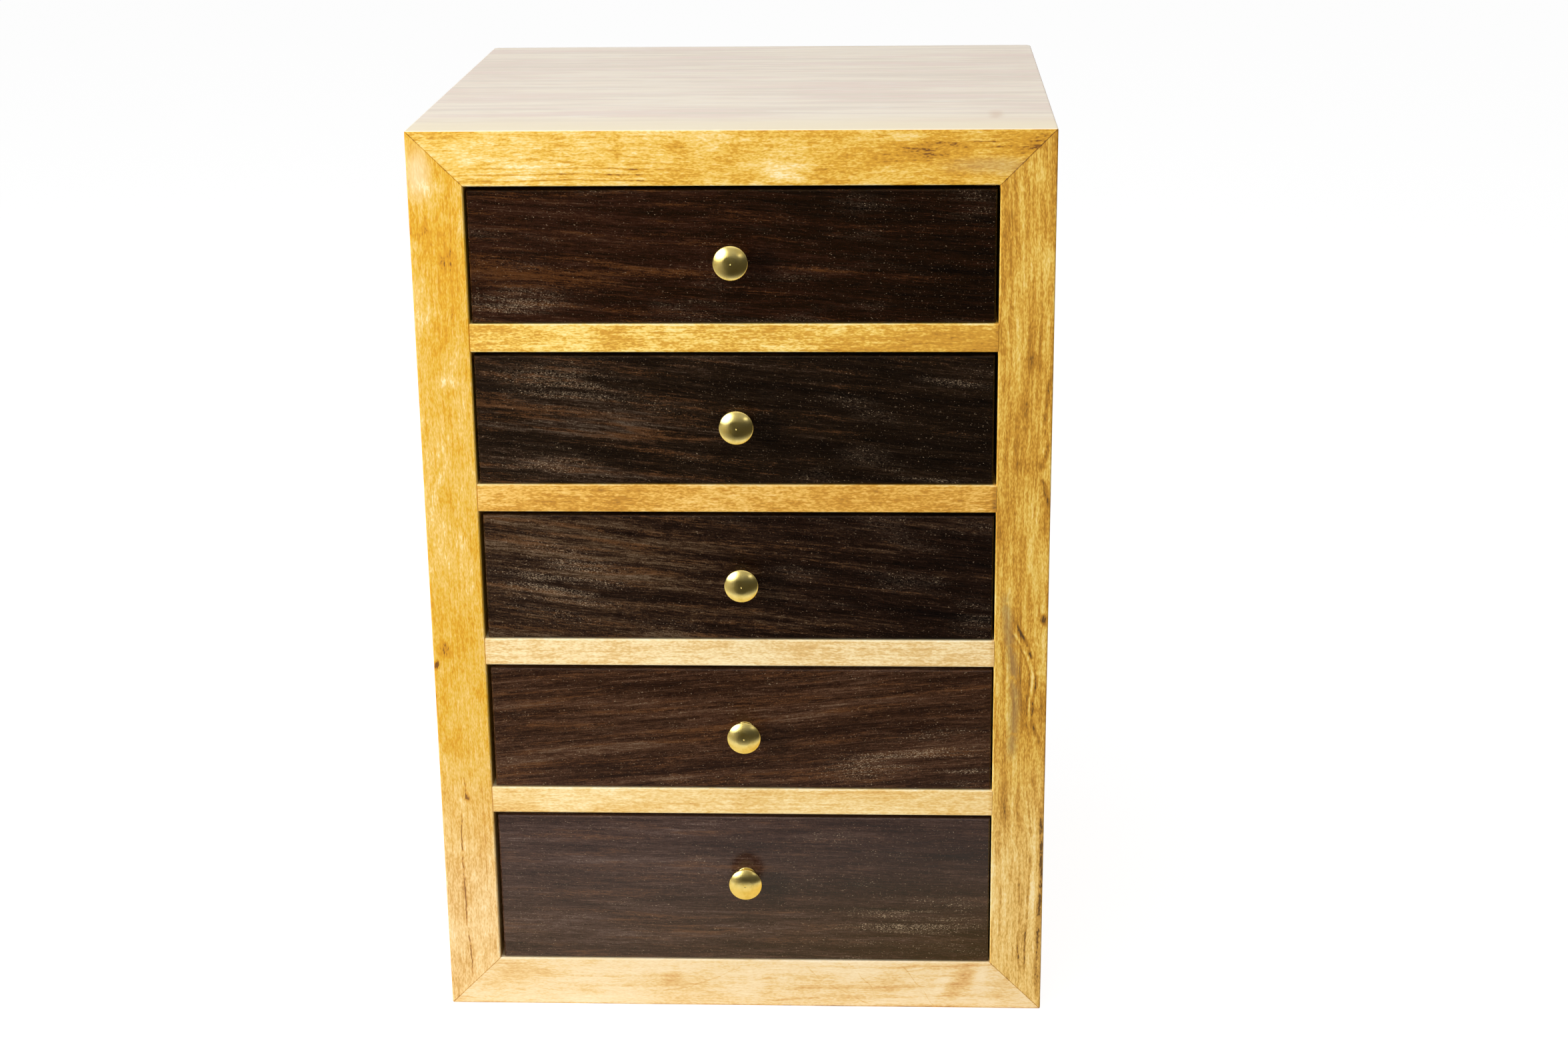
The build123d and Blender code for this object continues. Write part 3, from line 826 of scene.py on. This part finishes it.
def rosewood(name, shift, **look):
    """Oiled rosewood, cut from its own part of the tree."""
    look = {**ROSEWOOD, **look}
    material, tree, shader = new_material(name)
    board = millimetres(tree, "x", shift, math.radians(look["lean"]))
    wavy = wandering(tree, board, (70, 14, 14), (0, 3.5, 3.5))
    fine = wandering(tree, wavy, (16, 4, 4), (0, 0.5, 0.5))
    bands = blotches(tree, wavy, look["bands"][0], 4, 0.6)
    lines = blotches(tree, fine, (38, 1.3, 1.3), 2, 0.6)
    fibres = blotches(tree, fine, (12, 0.6, 0.6), 3, 0.65)
    hairs = blotches(tree, fine, (3, 0.34, 0.34), 2)
    pores = blotches(tree, fine, (0.6, 0.28, 0.28), 0)
    parts = [(bands, look["bands"][1]), (lines, 0.45), (fibres, 0.5), (hairs, 0.55), (pores, 0.3)]
    tone = summed(tree, parts)
    for mark, change in look["marks"]:
        tone = change_tone(tree, tone, mark(tree), change)
    colour = palette(tree, tone, look["colours"])
    ribbons = blotches(tree, wavy, (40, 3, 3))
    warm = mask(tree, ribbons, 0.46, 0.62, 0.6)
    colour = tint(tree, colour, product(tree, warm, mask(tree, tone, 0.44, 0.7)), WARM_BAND)

    # Clouds of painted sheen: a grey haze and pale glints painted on the pores.
    stripes = mask(tree, ribbons, 0.42, 0.58)
    sheen_mask = mask(tree, blotches(tree, board, (34, 8, 8)), 0.56, 0.72, 0.3)
    for sheen_cloud in look["sheen_clouds"]:
        striped = product(tree, sheen_cloud(tree), stripes)
        sheen_mask = node(tree, "Math", {0: sheen_mask, 1: striped}, operation="MAXIMUM")
    sheen_haze = mask(tree, blotches(tree, fine, (1.1, 0.4, 0.4), 2, 0.6), 0.42, 0.66, 0.42)
    colour = tint(tree, colour, product(tree, sheen_mask, sheen_haze), PAINTED_SHEEN)
    pore_glints = change_tone(tree, pores, sheen_mask, 0.2)
    colour = tint(tree, colour, mask(tree, pore_glints, 0.75, 0.9, look["pores"]), PAINTED_PORE_GLINT)

    height = tint(tree, fibres, 0.6, pores)
    bump = node(tree, "Bump", {"Height": height, "Strength": 0.25, "Distance": 0.04 * MM})
    rough = node(tree, "MapRange", {0: fibres, 1: 0.3, 2: 0.7, 3: 0.2, 4: 0.3})
    shader.inputs["Specular IOR Level"].default_value = look["gloss"]
    return finish_surface(material, colour, rough, bump)


print("rosewood bands:", ROSEWOOD["bands"][0], "mm")

# %% [markdown]
# Top drawer first. The bands of each front lean by a few degrees, one part is
# darker than the rest, and its clouds of painted sheen on the pores sit where
# the plane cut them.

# %% The five drawer fronts
FRONTS = [
    {
        "lean": -4,
        "shift": (0, 0, 0),
        "marks": [(level(-60, 90, axis="X"), -0.2), (rounded_patch(40, 296, 60, 6, lean=-8), 0.1)],
        "sheen_clouds": [rounded_patch(-78, 283, 34, 10, 0.9), rounded_patch(84, 320, 14, 8, 0.5)],
    },
    {
        "lean": -6,
        "shift": (200, 30, 90),
        "colours": "#050302 #0b0502 #160b04 #1c1107 #221509 #2a1b11 #3d2f23 #5a4b3d",
        "marks": [(level(-40, 60, axis="X"), -0.16), (rounded_patch(-50, 236, 36, 5, lean=-7), 0.14)],
        "sheen_clouds": [
            rounded_patch(-62, 252, 40, 13, 0.8, lean=-8),
            rounded_patch(-72, 224, 34, 10, 0.8, lean=-10),
            rounded_patch(80, 254, 20, 6, 0.8, lean=-12),
            rounded_patch(66, 219, 36, 5, 0.8, lean=-8),
        ],
    },
    {
        "lean": -6,
        "shift": (90, 55, 300),
        "colours": "#060302 #0c0503 #1a0c05 #24150c #2f1e11 #3b2818 #53402d #6e5a48",
        "marks": [
            (level(-40, 50, axis="X"), -0.2),
            (rounded_patch(20, 163, 70, 5, lean=-5), 0.12),
            (rounded_patch(-20, 192, 60, 4, lean=-5), 0.1),
        ],
        "sheen_clouds": [rounded_patch(-68, 178, 42, 24, 1.0, lean=-12), rounded_patch(88, 163, 12, 10, 0.7)],
    },
    {
        "lean": 5,
        "shift": (610, 20, 20),
        "colours": "#0a0503 #170b05 #261308 #321d0f #3a2415 #42291a #523826 #6c5642",
        "marks": [
            (level(-20, 80, axis="X"), -0.02),
            (rounded_patch(40, 126, 70, 4, lean=8), 0.12),
            (rounded_patch(-60, 108, 50, 4, lean=8), 0.1),
        ],
        "sheen_clouds": [rounded_patch(62, 107, 46, 11, 1.0, lean=14), rounded_patch(84, 101, 18, 10, 1.0, lean=14)],
        "pores": 0.8,
    },
    {
        "lean": -1,
        "shift": (45, 70, 810),
        # Greyer colours: a painted reflection of the paper before it, over the real gloss.
        "colours": "#0c0502 #1b0d07 #2d1810 #39241b #3f2a21 #463027 #543f36 #6e5c50",
        "gloss": 0.42,
        "pores": 0.8,
        "bands": ((110, 9, 7), 0.8),
        "marks": [(level(-20, 80, axis="X"), -0.14)],
        "sheen_clouds": [rounded_patch(66, 37, 46, 16, 1.0, lean=6), rounded_patch(-84, 34, 20, 14, 0.3)],
    },
]
for number, look in enumerate(FRONTS, 1):
    dress(rosewood(f"oiled_rosewood_{number}", **look), f"drawer_{number}_front")

# %% [markdown]
# The drawer boxes are plain sanded maple, not oiled, so they are paler and
# duller than the case. Their sides run front to back and their backs run
# across, so the fibre turns with them. The bottoms and the back panel are thin
# birch plywood, whose peeled veneer shows wide soft rings. The splines in the
# mitres are slips of solid birch, as plain as the drawer sides.

# %% Drawer boxes, bottoms, back panel and splines
PLAIN = {
    "colours": "#8c6a3e #b89058 #d6b684 #dfc292 #e4c99b #e9d1a6 #f1deba #f6e8cc",
    "roughness": 0.58,
    "coat": 0,
    "grain": 0.12,
    "strokes": -0.08,
}
drawers = range(1, 6)
sides = [f"drawer_{n}_{hand}_side" for n in drawers for hand in ("left", "right")]
backs = [f"drawer_{n}_back" for n in drawers]
bottoms = [f"drawer_{n}_bottom" for n in drawers]
dress(maple("sanded_maple_sides", "y", (5, 60, 20), **PLAIN), *sides)
dress(maple("sanded_maple_backs", "x", (25, 10, 70), **PLAIN), *backs)
BIRCH = {
    **PLAIN,
    "colours": "#98774a #bf9a66 #d8bb8c #e0c699 #e5cda3 #e9d4ad #f0dfbf #f5e8cf",
    "ring": 9,
    "rings": 0.1,
    "strokes": -0.06,
}
dress(maple("birch_ply_bottoms", "x", (80, 33, 5), **BIRCH), *bottoms)
dress(maple("birch_ply_back_panel", "z", (12, 3, 50), **BIRCH), "back_panel")
splines = [f"mitre_spline_{end}_{hand}" for end in ("top", "bottom") for hand in ("left", "right")]
dress(maple("birch_splines", "y", (1, 9, 9), **PLAIN), *splines)

# %% [markdown]
# The knobs are solid brass, turned on a lathe and polished only to a satin,
# so the eye sees a soft mirror crossed by the finest rings. Brass keeps its
# colour from its metallic base; the rings come from a bump that follows the
# distance from each knob's own axis, which the mesh carries as an attribute.
# The screws of the back panel are the same metal, cut by machine.

# %% Brass and plated steel
SCREW_MARKS = (1.2, 0.2, 0.2)   # what the cutter leaves on a screw, in mm
LATHE_SCALE = 5.0               # five fine rings to a millimetre


def metal(name, bright, dull, roughness, rings=None):
    """A bare metal, a little dulled by handling, with lathe rings or a cutter's marks."""
    material, tree, shader = new_material(name)
    here = millimetres(tree)
    handled = blotches(tree, here, (3, 3, 3), 4, 0.6)
    colour = tint(tree, rgb(bright), mask(tree, handled, 0.42, 0.72), dull)
    if rings:
        shader.inputs["Anisotropic"].default_value = 0.4
        around = node(tree, "Tangent", direction_type="RADIAL", axis="Y")
        tree.links.new(around.outputs[0], shader.inputs["Tangent"])
        lathe = node(tree, "Attribute", attribute_name=rings).outputs["Fac"]
        noise = {"W": lathe, "Scale": LATHE_SCALE, "Detail": 3.0}
        marks = node(tree, "TexNoise", noise, noise_dimensions="1D")
    else:
        marks = blotches(tree, here, SCREW_MARKS)
    bump = node(tree, "Bump", {"Height": marks, "Strength": 0.5, "Distance": 0.012 * MM})
    low, high = roughness - 0.03, roughness + 0.06
    rough = node(tree, "MapRange", {0: handled, 1: 0.3, 2: 0.7, 3: low, 4: high})
    shader.inputs["Metallic"].default_value = 1.0
    return finish_surface(material, colour, rough, bump)


knob_screws = [f"drawer_{n}_knob_screw" for n in drawers]
dress(metal("cut_brass", "#e6c66a", "#c9a24c", 0.3), "back_panel_screws")
dress(metal("zinc_plated_steel", "#c9cbcc", "#a9acae", 0.3), *knob_screws)

# %% [markdown]
# A knob is a turned shape, so it is made as on a lathe: a circle is extruded
# and resized ring by ring along the outline. Spinning a drawn profile would
# also work, but ring by ring each step can be named: the flange that sits on
# the wood, the waist that fingers reach behind, the rim, the low crown with a
# flatter middle, and the small dimple that the tailstock left. The outline is
# a list of radii and heights above the drawer front, in millimetres.

# %% The outline of a knob
WAIST_RADIUS, WAIST_START, WAIST_LENGTH = 3.0, 0.6, 4.0
FLARE_START, FLARE_RADIUS = 4.6, 2.55       # behind the cap, a quarter of a circle
CAP_EDGE, CAP_HEIGHT = 6.1, 7.7 + 1.7
CROWN_RADIUS, FLAT_RADIUS = 12.7, 17.0      # how the cap and its flatter middle curve
FLAT_EDGE, DIMPLE_EDGE = 2.65, 0.3
WAIST_STEPS, FLARE_STEPS, CROWN_STEPS, FLAT_STEPS = 6, 8, 14, 8


def crown(radius):
    """Height of the crown above the drawer front."""
    return CAP_HEIGHT - (CROWN_RADIUS - math.sqrt(CROWN_RADIUS**2 - radius**2))


outline = [(3.9, 0.0), (3.88, 0.3), (3.8, 0.42), (3.66, 0.47), (3.4, 0.5)]     # the flange
for step in range(1, WAIST_STEPS + 1):
    share = step / WAIST_STEPS
    outline.append((WAIST_RADIUS + 0.4 * (1 - share) ** 2, WAIST_START + WAIST_LENGTH * share))
for step in range(1, FLARE_STEPS + 1):
    turn = math.pi / 2 * step / FLARE_STEPS
    out, up = FLARE_RADIUS * (1 - math.cos(turn)), FLARE_RADIUS * math.sin(turn)
    outline.append((WAIST_RADIUS + out, FLARE_START + up))
outline += [(CAP_EDGE, 7.15), (6.28, 7.2), (6.35, 7.3), (6.35, 7.46)]           # the rim
outline += [(6.31, 7.62), (6.22, 7.75), (CAP_EDGE, 7.83)]
for step in range(1, CROWN_STEPS + 1):
    radius = CAP_EDGE - (CAP_EDGE - FLAT_EDGE) * step / CROWN_STEPS
    outline.append((radius, crown(radius)))
for step in range(1, FLAT_STEPS + 1):
    radius = FLAT_EDGE - (FLAT_EDGE - DIMPLE_EDGE) * step / FLAT_STEPS
    rise = math.sqrt(FLAT_RADIUS**2 - radius**2) - math.sqrt(FLAT_RADIUS**2 - FLAT_EDGE**2)
    outline.append((radius, crown(FLAT_EDGE) + rise))
middle_height = outline[-1][1]
outline += [(0.24, middle_height - 0.02), (0.12, middle_height - 0.1), (0.04, middle_height - 0.12)]
print("outline:", len(outline), "rings,", round(middle_height, 2), "mm high")

# %% [markdown]
# The lathe's steps are operators: extrude the open edge upward, resize it to
# the next radius, and close the last small ring to a point. The rings of the
# finish need to know how far each place is from the axis, so that distance is
# kept on the mesh before the knob is turned and moved.

# %% Turn one knob
KNOB_SEGMENTS = 96
SMOOTH_ANGLE = math.radians(40)


def turn_knob(outline):
    """A closed turned mesh on +Z, in metres."""
    bpy.ops.object.select_all(action="DESELECT")
    radius, height = outline[0]
    bpy.ops.mesh.primitive_circle_add(
        vertices=KNOB_SEGMENTS, radius=radius * MM, fill_type="NGON", location=(0, 0, 0)
    )
    made = bpy.context.object
    bpy.ops.object.mode_set(mode="EDIT")
    bpy.ops.mesh.select_all(action="SELECT")
    bpy.ops.mesh.flip_normals()
    bpy.ops.mesh.select_mode(type="EDGE")
    bpy.ops.mesh.select_all(action="SELECT")
    for next_radius, next_height in outline[1:]:
        rise = (next_height - height) * MM
        bpy.ops.mesh.extrude_edges_move(TRANSFORM_OT_translate={"value": (0, 0, rise)})
        share = next_radius / radius
        bpy.ops.transform.resize(value=(share, share, 1))
        radius, height = next_radius, next_height
    bpy.ops.mesh.merge(type="CENTER")
    bpy.ops.mesh.select_all(action="SELECT")
    bpy.ops.mesh.normals_make_consistent(inside=False)
    bpy.ops.object.mode_set(mode="OBJECT")
    bpy.ops.object.shade_smooth_by_angle(angle=SMOOTH_ANGLE)
    lathe = made.data.attributes.new("lathe", "FLOAT", "POINT")
    for i, vertex in enumerate(made.data.vertices):
        x, y, z = vertex.co / MM
        lathe.data[i].value = math.hypot(x, y) + 0.7 * z
    return made


first_knob = turn_knob(outline)
peak = max(vertex.co.z for vertex in first_knob.data.vertices)
print("one knob:", len(first_knob.data.vertices), "vertices, height", round(peak / MM, 2), "mm")

# %% [markdown]
# Each drawer gets its own copy of the mesh, turned to face the front and
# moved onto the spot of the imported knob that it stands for.

# %% Set a knob on every drawer
TO_THE_FRONT = Matrix.Rotation(math.pi / 2, 4, "X")
knob_brass = metal("satin_brass", "#f3dc8a", "#e6cb70", 0.19, rings="lathe")
first_knob.data.materials.append(knob_brass)
for n in drawers:
    low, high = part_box(f"drawer_{n}_knob")
    middle = (low + high) / 2
    floor_lit_foot = (middle.x, high.y, middle.z)
    mesh = first_knob.data.copy()
    mesh.transform(Matrix.Translation(floor_lit_foot) @ TO_THE_FRONT)
    knob = bpy.data.objects.new(f"turned_knob_{n}", mesh)
    scene.collection.objects.link(knob)
    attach(knob, f"drawer_{n}")
    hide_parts(f"drawer_{n}_knob")
    print(knob.name, "at", [round(x / MM, 1) for x in floor_lit_foot])
bpy.data.objects.remove(first_knob)
